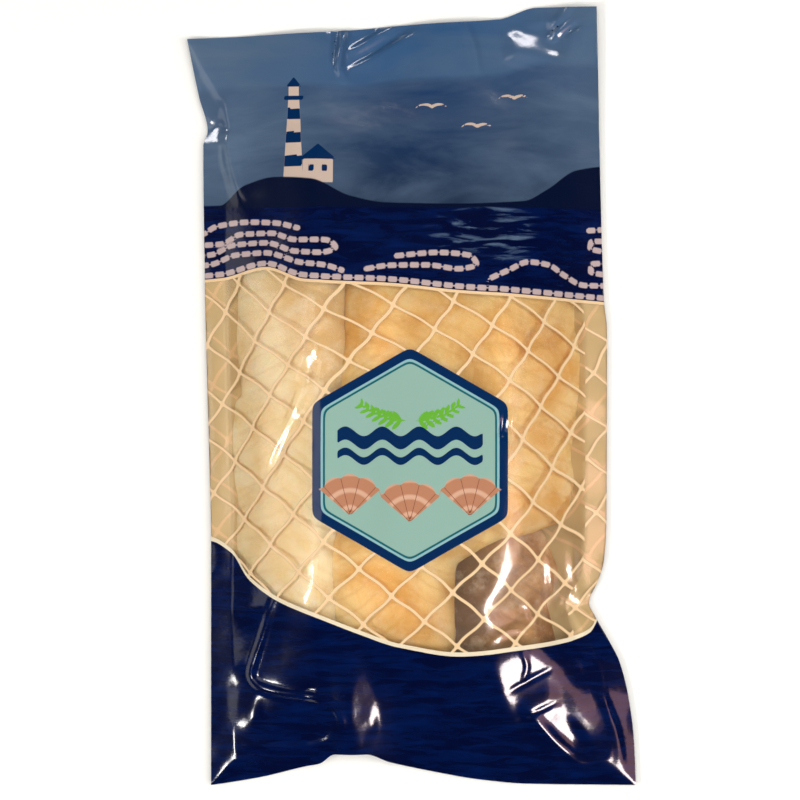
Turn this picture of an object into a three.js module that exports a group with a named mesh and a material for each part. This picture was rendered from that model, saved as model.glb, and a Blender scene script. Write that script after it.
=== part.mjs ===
// A sealed retail pouch of frozen cod fillets, lying on its back with the window side up.
// Millimetres, +Z up, the pouch's top seal towards +Y. The origin is under the middle of the
// pouch, on the surface it lies on.
//
// The pouch is one closed body: a front panel that swells over the slabs of fish, a back panel
// that is flat where it rests, and the flat seals where the two panels are welded together.

import * as THREE from 'three';

// ---- Driving dimensions ----

const TOP_SEAL = 22;          // depth of the welded band at the top
const HEM_SEAL = 9;           // depth of the welded band at the bottom
const SIDE_SEAL = 9;          // width of the welded margin down each side
const SEAL_THICKNESS = 0.8;   // both panels together, with the stiffness of the weld
const SEAL_LIFT = 6.2;        // height of the weld line above the resting surface
const EDGE_LIFT = 2.2;        // height of the free edge of a seal
const SWELL = 17;             // rise of the front panel above the weld line

const LEFT_REACH = 40;        // how far in from each seal the front panel keeps rising
const RIGHT_REACH = 37;
const TOP_REACH = 88;
const HEM_REACH = 62;
const BACK_REACH = 30;        // how far in from each seal the back panel comes down
const SIDE_STEEPNESS = 1.6;   // how much of that rise comes close to the seal
const END_STEEPNESS = 1.7;
const BACK_STEEPNESS = 2;

const FLAT_WIDTH = 165;       // pouch between its side edges, measured flat
const FLAT_LENGTH = 300;      // pouch between its top and bottom edges, measured flat

// Slabs of fish under the film: middle, half size and how far each one lifts the film.
const SLABS = [
  { x: -50, y: -16, halfWidth: 26, halfLength: 74, lift: 5 },
  { x: 16, y: -18, halfWidth: 44, halfLength: 80, lift: 6.5 },
];
const HOLLOW = { x: 47, y: -84, radius: 24, drop: 4 };  // where the film spans past the slabs

// The right seal is wider a little way up from the hem.
const WIDE_SEAL = { fromHem: 50, reach: 17, extra: 5 };

// The hem is bent up in a short wave left of the middle.
const HEM_WAVE = { x: -24, halfWidth: 13, lift: 8.5, reach: 42 };
// The top seal ripples along its width.
const SEAL_RIPPLE = { lift: 1.6, length: 58, reach: 40 };

// ---- Outline: the four edges as the pouch lies ----

// Side edges as [y, x], from the bottom corner to the top corner.
const LEFT_EDGE = [
  [-155.7, -80.2], [-57, -80.2], [-21, -81], [40, -82.6], [100, -83.3],
  [106, -81.6], [119.6, -85], [142.8, -89.8],
];
const RIGHT_EDGE = [
  [-155.7, 89.8], [-137.6, 89], [-121.6, 87], [-106.8, 83.4], [-97.2, 78.6], [-88.4, 73.6],
  [-82.8, 71], [-73.6, 74.8], [-65.6, 77], [-49.6, 78], [26, 78.2], [38.4, 77], [155.7, 74],
];
// End edges as [x, y], from the left corner to the right corner.
const BOTTOM_EDGE = [
  [-80.2, -155.7], [-73.8, -154.8], [-59.8, -152.4], [-41.8, -148], [-36.6, -146.8],
  [-30.6, -142.8], [-18.2, -142.8], [-8.6, -146.4], [11.4, -150.8], [27.4, -153.5],
  [47, -155.2], [89.8, -155.7],
];
const TOP_EDGE = [
  [-89.8, 142.8], [-28.6, 146], [-4.2, 148.2], [35, 150.8], [49.8, 155.4], [74, 155.7],
];

// ---- Small helpers ----

const clamp01 = (t) => THREE.MathUtils.clamp(t, 0, 1);
const bell = (t) => Math.exp(-t * t);

// A smooth curve through knots [t, value] that never overshoots them: a cubic between each
// pair, with a level tangent at every knot where the value turns round.
function through(knots, t) {
  const last = knots.length - 2;
  let i = 0;
  while (i < last && t > knots[i + 1][0]) i += 1;
  const chord = (k) => (knots[k + 1][1] - knots[k][1]) / (knots[k + 1][0] - knots[k][0]);
  const tangent = (k) => {
    if (k === 0) return chord(0);
    if (k > last) return chord(last);
    const before = chord(k - 1);
    const after = chord(k);
    return before * after > 0 ? (2 * before * after) / (before + after) : 0;
  };
  const [t0, value0] = knots[i];
  const [t1, value1] = knots[i + 1];
  const span = t1 - t0;
  const s = clamp01((t - t0) / span);
  const fromStart = 1 - s * s * (3 - 2 * s);
  const bendStart = s * (1 - s) * (1 - s) * span;
  const bendEnd = -s * s * (1 - s) * span;
  return value0 * fromStart + value1 * (1 - fromStart)
    + tangent(i) * bendStart + tangent(i + 1) * bendEnd;
}

// How far a taut panel has risen at a distance in from its weld: steep at the weld, level at
// the end of its reach.
function rise(distance, reach, steepness) {
  return 1 - (1 - clamp01(distance / reach)) ** steepness;
}

// ---- The pouch as it lies ----

// The point (x, y) for u across and v along, both 0 to 1: the four edges are blended so that
// the inner lines follow the outline.
function planPoint(u, v) {
  const leftY = THREE.MathUtils.lerp(LEFT_EDGE[0][0], LEFT_EDGE.at(-1)[0], v);
  const rightY = THREE.MathUtils.lerp(RIGHT_EDGE[0][0], RIGHT_EDGE.at(-1)[0], v);
  const bottomX = THREE.MathUtils.lerp(BOTTOM_EDGE[0][0], BOTTOM_EDGE.at(-1)[0], u);
  const topX = THREE.MathUtils.lerp(TOP_EDGE[0][0], TOP_EDGE.at(-1)[0], u);
  const left = [through(LEFT_EDGE, leftY), leftY];
  const right = [through(RIGHT_EDGE, rightY), rightY];
  const bottom = [bottomX, through(BOTTOM_EDGE, bottomX)];
  const top = [topX, through(TOP_EDGE, topX)];
  return [0, 1].map((axis) => {
    const acrossBlend = left[axis] * (1 - u) + right[axis] * u;
    const alongBlend = bottom[axis] * (1 - v) + top[axis] * v;
    const lowerCorners = BOTTOM_EDGE[0][axis] * (1 - u) + BOTTOM_EDGE.at(-1)[axis] * u;
    const upperCorners = TOP_EDGE[0][axis] * (1 - u) + TOP_EDGE.at(-1)[axis] * u;
    return acrossBlend + alongBlend - lowerCorners * (1 - v) - upperCorners * v;
  });
}

// Height of the weld between the panels: low at the free edges, bent up in the hem's wave and
// rippled along the top seal. The four ways in from the edges are joined by a soft minimum, so
// that the seals meet in rounded mitres.
function weldHeight(x, { left, right, hem, top }) {
  const shares = [left / SIDE_SEAL, right / SIDE_SEAL, hem / HEM_SEAL, top / TOP_SEAL];
  const sum = shares.reduce((total, share) => total + Math.max(share, 1e-4) ** -4, 0);
  const wave = HEM_WAVE.lift * bell((x - HEM_WAVE.x) / HEM_WAVE.halfWidth)
    * bell(hem / HEM_WAVE.reach);
  const ripple = SEAL_RIPPLE.lift * Math.sin((2 * Math.PI * x) / SEAL_RIPPLE.length)
    * bell(top / SEAL_RIPPLE.reach);
  return EDGE_LIFT + (SEAL_LIFT - EDGE_LIFT) * clamp01(sum ** -0.25) + wave + ripple;
}

// How much the slabs of fish lift the film at a point, and the hollow beside them lowers it.
function slabLift(x, y) {
  const lifted = SLABS.reduce((sum, slab) => {
    const across = ((x - slab.x) / slab.halfWidth) ** 4;
    const along = ((y - slab.y) / slab.halfLength) ** 4;
    return sum + slab.lift * Math.exp(-across - along);
  }, 0);
  return lifted - HOLLOW.drop * bell(Math.hypot(x - HOLLOW.x, y - HOLLOW.y) / HOLLOW.radius);
}

// The front and the back panel's heights over one plan point.
function panelHeights(u, v, x, y) {
  const edges = {
    left: u * FLAT_WIDTH,
    right: (1 - u) * FLAT_WIDTH,
    hem: v * FLAT_LENGTH,
    top: (1 - v) * FLAT_LENGTH,
  };
  const rightSeal = SIDE_SEAL
    + WIDE_SEAL.extra * bell((edges.hem - WIDE_SEAL.fromHem) / WIDE_SEAL.reach);
  const fromLeft = edges.left - SIDE_SEAL;
  const fromRight = edges.right - rightSeal;
  const fromHem = edges.hem - HEM_SEAL;
  const fromTop = edges.top - TOP_SEAL;
  const weld = weldHeight(x, edges);
  const swollen = rise(fromLeft, LEFT_REACH, SIDE_STEEPNESS)
    * rise(fromRight, RIGHT_REACH, SIDE_STEEPNESS)
    * rise(fromTop, TOP_REACH, END_STEEPNESS)
    * rise(fromHem, HEM_REACH, END_STEEPNESS);
  const lowered = [fromLeft, fromRight, fromHem, fromTop]
    .reduce((product, inwards) => product * rise(inwards, BACK_REACH, BACK_STEEPNESS), 1);
  const half = SEAL_THICKNESS / 2;
  return {
    front: weld + half + swollen * (SWELL + slabLift(x, y)),
    back: (weld - half) * (1 - lowered),
  };
}

// ---- The mesh ----

// Grid lines between 0 and 1: two steps over each seal, even steps between the seals.
function gridLines(total, firstSeal, lastSeal, steps) {
  const first = firstSeal / total;
  const last = 1 - lastSeal / total;
  const inner = Array.from({ length: steps + 1 }, (_, i) => first + ((last - first) * i) / steps);
  return [0, first / 2, ...inner, (1 + last) / 2, 1];
}

const ACROSS = gridLines(FLAT_WIDTH, SIDE_SEAL, SIDE_SEAL, 33);
const ALONG = gridLines(FLAT_LENGTH, HEM_SEAL, TOP_SEAL, 55);

function pouchGeometry() {
  const columns = ACROSS.length;
  const rows = ALONG.length;
  const front = [];
  const back = [];
  ALONG.forEach((v) => ACROSS.forEach((u) => {
    const [x, y] = planPoint(u, v);
    const heights = panelHeights(u, v, x, y);
    front.push(x, y, heights.front);
    back.push(x, y, heights.back);
  }));

  const faces = [];
  const quad = (a, b, c, d) => faces.push(a, b, c, a, c, d);
  const onFront = (column, row) => row * columns + column;
  const onBack = (column, row) => columns * rows + row * columns + column;
  for (let row = 0; row < rows - 1; row += 1) {
    for (let column = 0; column < columns - 1; column += 1) {
      const corners = [[column, row], [column + 1, row], [column + 1, row + 1], [column, row + 1]];
      quad(...corners.map(([i, j]) => onFront(i, j)));
      quad(...corners.reverse().map(([i, j]) => onBack(i, j)));
    }
  }
  // The thin rim: down from the front panel to the back panel along all four edges.
  for (let column = 0; column < columns - 1; column += 1) {
    const next = column + 1;
    const end = rows - 1;
    quad(onBack(column, 0), onBack(next, 0), onFront(next, 0), onFront(column, 0));
    quad(onFront(column, end), onFront(next, end), onBack(next, end), onBack(column, end));
  }
  for (let row = 0; row < rows - 1; row += 1) {
    const next = row + 1;
    const end = columns - 1;
    quad(onFront(0, row), onFront(0, next), onBack(0, next), onBack(0, row));
    quad(onBack(end, row), onBack(end, next), onFront(end, next), onFront(end, row));
  }

  const geometry = new THREE.BufferGeometry();
  geometry.setAttribute('position', new THREE.Float32BufferAttribute([...front, ...back], 3));
  geometry.setIndex(faces);
  geometry.computeVertexNormals();
  return geometry;
}

const printedFilm = new THREE.MeshStandardMaterial({
  color: 0x1c3f6e, roughness: 0.22, metalness: 0,
});

const pouch = new THREE.Mesh(pouchGeometry(), printedFilm);
pouch.name = 'pouch';

const group = new THREE.Group();
group.add(pouch);

export default group;
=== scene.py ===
"""A sealed pouch of frozen cod fillets: printed film with a clear netted window, and the fish.

Everything is worked out in millimetres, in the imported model's frame, and put into meshes in metres.
"""

import math
from functools import partial

import bpy
import numpy as np
from bpy.props import FloatProperty, FloatVectorProperty, PointerProperty
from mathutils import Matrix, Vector


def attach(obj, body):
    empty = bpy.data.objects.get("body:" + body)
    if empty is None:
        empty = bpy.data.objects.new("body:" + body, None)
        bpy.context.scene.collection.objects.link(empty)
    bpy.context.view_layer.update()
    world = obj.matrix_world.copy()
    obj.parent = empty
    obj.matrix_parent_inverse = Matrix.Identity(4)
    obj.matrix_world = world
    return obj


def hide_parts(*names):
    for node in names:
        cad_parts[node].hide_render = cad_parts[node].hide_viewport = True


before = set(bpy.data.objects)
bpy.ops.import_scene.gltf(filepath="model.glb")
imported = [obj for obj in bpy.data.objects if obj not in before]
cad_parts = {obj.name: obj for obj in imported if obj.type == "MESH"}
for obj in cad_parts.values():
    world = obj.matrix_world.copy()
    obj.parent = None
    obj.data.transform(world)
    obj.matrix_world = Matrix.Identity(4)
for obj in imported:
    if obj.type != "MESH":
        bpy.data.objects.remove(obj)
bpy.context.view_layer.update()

bl_info = {
    "name": "Frozen Fillet Pouch",
    "version": (1, 0, 0),
    "blender": (4, 5, 0),
    "location": "View3D > Sidebar > Pouch",
    "description": "Builds a sealed film pouch of frozen fillets, its fish and a small studio",
    "category": "Add Mesh",
}

MM = 0.001

# ---- The pouch as it lies, in millimetres ----

TOP_SEAL = 22.0
HEM_SEAL = 9.0
SIDE_SEAL = 9.0
FILM_THICKNESS = 0.4
EDGE_LIFT = 2.2
LEFT_REACH = 40.0
RIGHT_REACH = 37.0
TOP_REACH = 88.0
HEM_REACH = 62.0
BACK_REACH = 30.0
SIDE_STEEPNESS = 1.6
END_STEEPNESS = 1.7
WIDE_SEAL = (50.0, 17.0, 5.0)  # the right seal is wider near the hem: how far up, reach, extra
FLAT_WIDTH = 165.0
FLAT_LENGTH = 300.0

# Side edges as (y, x) from the bottom corner up, end edges as (x, y) from the left corner.
LEFT_EDGE = (
    (-155.7, -80.2), (-57, -80.2), (-21, -81), (40, -82.6), (100, -83.3),
    (106, -81.6), (119.6, -85), (142.8, -89.8),
)
RIGHT_EDGE = (
    (-155.7, 89.8), (-137.6, 89), (-121.6, 87), (-106.8, 83.4), (-97.2, 78.6), (-88.4, 73.6),
    (-82.8, 71), (-73.6, 74.8), (-65.6, 77), (-49.6, 78), (26, 78.2), (38.4, 77), (155.7, 74),
)
BOTTOM_EDGE = (
    (-80.2, -155.7), (-73.8, -154.8), (-59.8, -152.4), (-41.8, -148), (-36.6, -146.8),
    (-30.6, -142.8), (-18.2, -142.8), (-8.6, -146.4), (11.4, -150.8), (27.4, -153.5),
    (47, -155.2), (89.8, -155.7),
)
TOP_EDGE = (
    (-89.8, 142.8), (-28.6, 146), (-4.2, 148.2), (35, 150.8), (49.8, 155.4), (74, 155.7),
)

# Where slabs of fish lift the film: (x, y, half width, half length, lift).
SLAB_LIFTS = ((-50, -16, 26, 74, 5), (16, -18, 44, 80, 6.5))
HOLLOW = (47, -84, 24, 4)  # x, y, radius, drop: the film spans past the slabs here
HEM_WAVE = (-24, 13, 8.5, 30)  # x, half width, lift, reach inwards
SEAL_RIPPLE = (1.6, 58, 40)  # lift, length, reach inwards

# Creases of the film: (lift, width, points). A negative lift is a groove.
CREASES = (
    (2.1, 2.6, ((-26.6, 150), (-27.6, 142), (-29.4, 133.6), (-27, 127))),
    (1, 2.4, ((20, 151.2), (25, 140), (26.8, 129.4))),
    (1.2, 2.6, ((64, 157), (59.4, 151.2), (55, 145.8))),
    (1.2, 3.4, ((-74.2, 118.4), (-73, 98), (-68.6, 78.4))),
    (1.2, 2.6, ((66.6, -102), (72, -112), (77, -123), (81.4, -133), (84, -146))),
    (-0.7, 2.6, ((-81.8, 106.4), (-77, 108.2), (-71, 105))),
    (1.2, 3, ((54.6, -63.6), (55.8, -74), (56.2, -83.6))),
    (1.3, 3, ((63.4, -60), (64.8, -72), (68.2, -84.2))),
    (1.7, 2.4, (
        (-54.6, -80), (-59.8, -96), (-64.2, -110.4), (-61.8, -114.8), (-50.6, -118),
        (-40.2, -119.2), (-31.8, -122.4), (-27.8, -129.6), (-31.8, -136.4), (-39.8, -139.6),
    )),
    (-0.7, 1.6, ((38.6, -117), (46, -113), (56, -108))),
    (-0.7, 1.6, ((58.2, -121.2), (49, -125.4), (41.4, -128))),
    (0.6, 1.4, ((43, -100), (45.6, -107), (44, -113))),
    (1.5, 3.4, ((45.4, -124.6), (57, -137), (68.4, -147.6))),
    (0.8, 2, ((-40.2, -140), (-53, -140.2), (-66, -139))),
    (0.8, 2, ((-50.6, -144.4), (-70.8, -145.4))),
    (0.8, 2.2, ((30, -97.4), (41, -92), (52, -94.6), (63, -90))),
    (0.8, 2.4, ((41, -76), (47, -84), (50, -92))),
    (0.7, 2, ((57, -88), (61, -84), (62, -76))),
)

# Flat facets: (x, y, half width, half length, turn, slope to the right, slope upwards).
FACETS = (
    (44.5, -112.5, 13.5, 15, 0.3, -0.32, 0.22),
    (57, -131, 7.5, 15, 0.55, -0.32, 0.22),
    (49, 141, 11, 6.5, 0.1, -0.14, -0.41),
    (-15, 140.6, 3, 14, -1.053, -0.347, 0.35),
    (-29.4, 139.6, 2.4, 8, -0.1, 0.58, -0.3),
    (-39.6, 14, 2.4, 8, -0.36, 0.33, 0.18),
    (37.2, -11, 2.4, 5, -0.25, 0.36, 0.17),
    (-49.6, -14.6, 2.2, 16, -0.38, 0.33, 0.18),
    (-40.6, -117.6, 3, 2.6, 0.3, 0.34, 0.13),
    (61, 146, 2, 6, -1, -0.316, 0.36),
    (-66.5, -121, 5.5, 10, 0, 0.43, 0),
    (-19, -123, 5, 10, 0, -0.16, 0.2),
)

# Spare film that makes it wrinkle, as shares of its length:
# (x, y, reach across, reach along, spare across, spare along).
SPARE_FILM = (
    (0, 0, 900, 900, 0.003, 0.003),
    (0, 116, 120, 26, 0.006, 0.003),
    (-74, -20, 10, 130, 0.005, 0.018),
    (-46, 0, 16, 60, 0.010, 0.002),
    (71, -20, 10, 130, 0.005, 0.020),
    (54, -116, 26, 26, 0.004, 0.004),
    (62, 134, 22, 16, 0.014, 0.008),
    (-22, 136, 20, 14, 0.014, 0.006),
)
# Settling in coarse and then finer cells: cells, rounds, stiffness, width of folds, share, seed.
SETTLING = ((4, 900, 0.10, 26, 1, 3), (2, 400, 0.10, 13, 0.6, 5), (1, 120, 0.12, 6, 0.25, 9))
SIDEWAYS_LIMIT = 1.4  # how far a point of the film may shift in plan
UP_LIMIT = 3.2
PUSH_LIMIT = 6.0  # how far the fish may push it up
PULL_SHARE = 0.3  # share of a link's wrong length that one round puts right
SEAL_GIVE, GIVE_REACH = 0.3, 6.0  # how freely the seals shift, and how far in that rises to 1
WELD_HOLD = 4.0  # how far in from the weld the front still takes the back along
BACK_LUMPS = 0.6
CREST_ROUNDING, CREST_BEND, CREASE_FADE = 0.16, 9.0, 0.6
FISH_GAP = 0.45  # least distance from fish to film

FRONT_CELLS = (200, 360)  # across and along
HALF = (slice(None, None, 2), slice(None, None, 2))  # the back has half as many each way

SHARP_ANGLE = math.radians(60)

SLAB_RINGS, SLAB_SPOKES = 160, 480
FLAKE_LENGTH, FLAKE_RELIEF = 7.5, 0.2
FLAKE_SLANT, FLAKE_BEND = 0.45, 3.0
LUMPS = ((0.8, 21, 2), (0.35, 8, 3))  # height, length and seed of the slabs' lumps
SLAB_DEPTH = 1.0  # how far a slab's crest stays under the film, before its own depth
SLAB_LEAST = 1.5
SLAB_ROUNDING = 0.6
EDGE_UNEVEN = 0.02

# Slabs of fish: name, middle, outline as (x, y), turn of its flakes, how deep its top lies under
# the smooth film, edge softness, seed.
SLABS = (
    ("fish_pale", (-50, -22), (
        (-29, -60), (-28, -10), (-25, 30), (-28, 60), (-44, 72), (-58, 71), (-67, 62), (-69.5, 30),
        (-68.5, 0), (-70, -40), (-68, -85), (-62, -112), (-48, -118), (-34, -112), (-29, -92),
    ), -0.03, 0.9, 0.8, 31),
    ("fish_golden", (-10, -22), (
        (61, -47), (65, -25), (66, 20), (64, 50), (55, 68), (30, 72), (0, 70), (-20, 66), (-25, 50),
        (-27, 20), (-29, -10), (-31, -50), (-31, -90), (-24, -110), (-4, -117), (11, -112),
        (17.5, -98), (17.5, -80), (19, -66), (34, -57), (50, -54),
    ), 0.06, 0.4, 0.6, 32),
    # A lower slab in the hollow: its dark browns are partly painted shade of the hollow, and its left
    # side painted shadow of the golden slab.
    ("fish_dark", (36, -84), (
        (59, -84), (57, -66), (50, -52), (30, -48), (10, -58), (6, -84), (12, -108), (30, -115),
        (50, -110), (59, -98),
    ), -0.3, 6.5, 0.6, 33),
)

# Material, flesh, its deeper tint, the colour of grooves, stains and painted shade,
# share of frost, shift of the patterns.
SLAB_LOOKS = {
    "fish_pale": ("pale cod flesh", "#F8E6C0", "#F0D7A2", "#DAAF6C", 0.7, 1.3),
    "fish_golden": ("golden cod flesh", "#F6D696", "#E7B461", "#D0994A", 0.35, 4.1),
    # The lower slab's dark browns are partly painted shade.
    "fish_dark": ("cod flesh in painted shade", "#D2A067", "#8A5220", "#48240A", 0.45, 7.7),
}
# Painted shade on their sides where they meet another slab: direction, where it starts,
# how far it takes to grow, how strong.
SLAB_SHADES = {
    "fish_pale": (0.35, 12, 14, 0.6),
    "fish_golden": (2.6, 34, 12, 0.45),
    "fish_dark": (3.1, -12, 30, 0.95),
}
FROST_WHITE = "#F9EED8"

# ---- The print, in millimetres ----

# The clear window's lower and upper borders on the front, as (x, y).
FRONT_FOOT = (
    (-92, -57), (-80.6, -57.2), (-72.2, -61.6), (-64.6, -72.4), (-54.2, -79.6), (-36.6, -86.8),
    (-18.6, -94), (-4.6, -98.4), (19.4, -102), (39.8, -100), (61.4, -97.4), (71.4, -93.6),
    (76, -87), (92, -84),
)
FRONT_HEAD = (
    (-92, 46), (-76, 47), (-58, 51), (-42, 46), (-10, 44.5), (20, 41.5), (45, 39.8), (92, 36.5),
)
BACK_FOOT = ((-92, -92), (-40, -101), (20, -95), (92, -102))
BACK_HEAD = ((-92, 64), (-30, 70), (30, 66), (92, 72))
HORIZON, HILLS_FOOT = 76.0, 74.5
SKYLINE = (
    (-92, 72), (-76, 76), (-66, 84), (-54, 87), (-40, 86), (-24, 79), (-10, 76.5), (20, 76),
    (44, 77), (54, 82), (66, 90), (80, 92), (92, 92),
)
NET_NODE = (-21.0, -66.8)
NET_LEGS = ((13.2, -10.8), (11.2, 12.4))
NET_LEAN = (5e-5, 7e-5)  # how its meshes lean and tighten further up
NET_LINE, NET_KNOT = 1.2, 1.6
NET_PULL, NET_PULL_LENGTH, NET_BOW = 2.6, 46, 0.022
BACK_NET_SHIFT = (7, 5)
STRIP_SHIFT = 0.35  # in meshes
BORDER_LINE, HEAD_LINE = 1.7, 1.2
CRISP = 0.15  # soft edge of most inks
SKY_MIDDLE = 0.005  # metres: the sky is darkest here, and a painted sheen lightens its clouds towards both sides
LABEL_MIDDLE = (-0.8, -25.3)
LABEL_APOTHEM, LABEL_SQUARENESS = 38.4, 40
SPRIGS = (((-1.6, -9.6), 19, math.pi, -0.7), ((0, -9.6), 19, 0, 0.7))  # root, length, turn, bend
WAVE_PITCH, WAVE_SWING, WAVE_UP, WAVE_GAP, WAVE_REACH = 14.5, 1.9, 8.8, 7.2, 28.5
GULLS = ((8, 116), (26, 108), (41, 120))
GLITTER = (30, 64, 26, 13)  # x, y, reach across, reach along
ROPE_WIDTH, ROPE_STAGGER = 0.6, 1.7
FLOAT_PITCH, FLOAT_LENGTH, FLOAT_WIDTH = 4.4, 3.5, 2.2
ROPES = (
    ((-92, 47.5), (-76, 48.5), (-58, 52.4), (-42, 47.5), (-10, 46), (20, 43), (45, 41.3), (92, 38)),
    ((-92, 51.5), (-80, 52.5), (-70, 56), (-58, 56.6), (-44, 52.6), (-34, 51.4), (-27.5, 49.5)),
    (
        (-92, 55.6), (-80, 56.4), (-71, 60), (-58, 60.6), (-46, 57), (-36, 56.4), (-30, 58.6),
        (-34, 61.4), (-46, 61.6), (-56, 64.4), (-68, 64.2), (-76, 60.6), (-92, 60),
    ),
    ((-18, 50), (-8, 51.4), (6, 51.6), (18, 50), (25.4, 51.8), (23, 55.2), (10, 56.6), (-6, 55.2)),
    ((-92, 64.2), (-84, 64.6), (-78, 67.6), (-66, 69), (-54, 68.4), (-45, 66.2)),
    ((30, 45.8), (38, 49.4), (46, 52.8), (54, 51.8), (61, 47.6), (70, 44), (92, 44)),
    (
        (71, 66), (80, 66.6), (89, 65.6), (90, 63), (80, 62), (72, 61.6), (71.4, 59), (80, 57.4),
        (90, 57), (90, 54), (80, 53.2), (72, 52.6), (71.6, 49.6), (80, 48.4), (92, 48.4),
    ),
)
HEADLAND_TOP = (-47.0, 86.2)
LIGHTHOUSE_SCALE = 1.2
SHELLS = ((-24.3, -47), (-0.8, -49.5), (22.7, -47))
SHELL_RADIUS, SHELL_SPREAD, FLUTES, GROOVE_WIDTH = 15.0, 0.86, 7, 0.7
SCALLOP, BAND_PITCH, BAND_START = 0.08 * SHELL_RADIUS, 0.22 * SHELL_RADIUS, 0.16 * SHELL_RADIUS

# Inks of the print: what they colour, and the colour in sRGB hex.
INKS = {
    "deep": ("Dark end of the lower panel and the sea", "#00072C"),
    "water": ("Lighter end of the lower panel and the sea", "#00174A"),
    "sky": ("Sky over the horizon", "#182740"),
    "high_sky": ("Sky towards the top seal", "#1F3B62"),
    # The paler sky along the seal is a painted reflection on the flat seal.
    "seal_sky": ("Sky along the top seal", "#32537A"),
    "cloud": ("Lighter streaks of the sky", "#53677F"),
    "hills": ("Far hills", "#040E2A"),
    "cream": ("Net lines and the border line", "#E6C499"),
    "floats": ("Floats of the rope border", "#B8A3A2"),
    "label_blue": ("Label's rim and crests", "#002550"),
    "label_line": ("Pale line inside the rim", "#86B0B4"),
    "label_teal": ("Thin dark line inside the rim", "#125A63"),
    "label_fill": ("Label's middle", "#89AB9F"),
    "leaf": ("Sprigs", "#62A832"),
    "shell": ("Shells", "#B27A5C"),
    "shell_light": ("Pale band across the shells", "#CFA287"),
    "rib": ("Ribs of the shells", "#7A4636"),
    "border": ("Line along the lower panel", "#E4D5B8"),
    "white": ("Tower, house and gulls", "#C4AEA0"),
    "haze": ("Milky haze of the clear window", "#EFD9A8"),
    "back": ("Plain part of the back panel", "#D2B98A"),
}

# ---- Finish and studio ----

VEIL_SHARE = 0.035  # how much of the clear film scatters light
FLOOR_WHITE = "#F4F3F0"
FLOOR_HALF, FLOOR_DROP = 3000.0, 0.3  # millimetres
ROOM_LIGHT = 0.02
SENSOR = 36.0
CAMERA_PLACE = (-0.0046, -0.00164, 1.3)
VIEW_WIDTH, SHARP_HEIGHT = 0.32, 0.003  # metres that fill the picture at that height

# Lamps: name, place in metres, width, height, power in watts, colour, whether it lights what is
# matt, whether the film mirrors it.
LAMPS = (
    ("key", (-0.84, -0.43, 1.03), 0.30, 0.14, 6, (1, 0.97, 0.93), True, True),
    ("wide", (-0.76, 0.08, 1.1), 0.5, 0.5, 1.2, (1, 0.98, 0.95), True, True),
    ("sheen", (-1.3, 0, 0.5), 0.5, 0.4, 0.7, (1, 0.98, 0.95), False, True),
    ("edge", (-1.08, 0.71, 0.62), 0.26, 0.22, 4, (1, 0.97, 0.97), False, True),
    ("low", (0.84, -0.74, 0.95), 0.46, 0.42, 20, (1, 0.86, 0.83), False, True),
    ("glow", (0.8, -0.65, 0.95), 0.8, 0.8, 0.9, (1, 0.45, 0.35), False, True),
    ("side", (1, -0.3, 0.82), 0.5, 0.5, 2.2, (1, 0.5, 0.45), False, True),
    ("back", (0.15, 1.28, 0.84), 0.95, 0.16, 11, (1, 0.95, 0.95), False, True),
    ("fill", (0.1, 0, 1.6), 1.6, 1.6, 24, (1, 0.99, 0.97), True, False),
    ("fill_right", (1.1, -0.2, 0.9), 0.8, 0.8, 8, (1, 0.99, 0.97), True, False),
)


# ---- Curves and fields on whole arrays ----


def through(knots, t):
    """A smooth curve through (t, value) knots that never overshoots them.

    A cubic runs between each pair. Its tangent at a knot is the harmonic mean of the two chords,
    or level where the value turns round.
    """
    place, value = np.array(knots, dtype=float).T
    chord = np.diff(value) / np.diff(place)
    product = chord[:-1] * chord[1:]
    total = chord[:-1] + chord[1:]
    inner = np.where(product > 0, 2 * product / np.where(total == 0, 1, total), 0)
    tangent = np.concatenate([chord[:1], inner, chord[-1:]])
    i = np.clip(np.searchsorted(place, t) - 1, 0, len(chord) - 1)
    span = place[i + 1] - place[i]
    s = np.clip((t - place[i]) / span, 0, 1)
    ease = s * s * (3 - 2 * s)
    bend = tangent[i] * s * (1 - s) ** 2 - tangent[i + 1] * s * s * (1 - s)
    return value[i] * (1 - ease) + value[i + 1] * ease + bend * span


def bell(t):
    """One at zero, falling away on both sides as exp(-t squared)."""
    return np.exp(-t * t)


def rise(distance, reach, steepness):
    """How far a taut panel has risen there: 1 - (1 - distance / reach) ^ steepness."""
    return 1 - (1 - np.clip(distance / reach, 0, 1)) ** steepness


def drift(x, y, cell, seed):
    """A smooth uneven field between -1 and 1: seeded values on a lattice, eased together."""
    lattice = np.random.default_rng(seed).uniform(-1, 1, (61, 61))
    across, along = x / cell + 500, y / cell + 500
    i, j = np.floor(across).astype(int), np.floor(along).astype(int)
    fx, fy = across - i, along - j
    fx = fx * fx * fx * (fx * (6 * fx - 15) + 10)
    fy = fy * fy * fy * (fy * (6 * fy - 15) + 10)
    low = lattice[j % 61, i % 61] * (1 - fx) + lattice[j % 61, (i + 1) % 61] * fx
    high = lattice[(j + 1) % 61, i % 61] * (1 - fx) + lattice[(j + 1) % 61, (i + 1) % 61] * fx
    return low * (1 - fy) + high * fy


def route(points, steps=12):
    """Points of a curve through a few given points, each coordinate by the same smooth rule."""
    points = np.array(points, dtype=float)
    at = np.arange(len(points))
    t = np.linspace(0, at[-1], steps * at[-1] + 1)
    return np.stack([through(np.stack([at, points[:, k]], 1), t) for k in (0, 1)], 1)


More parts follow.
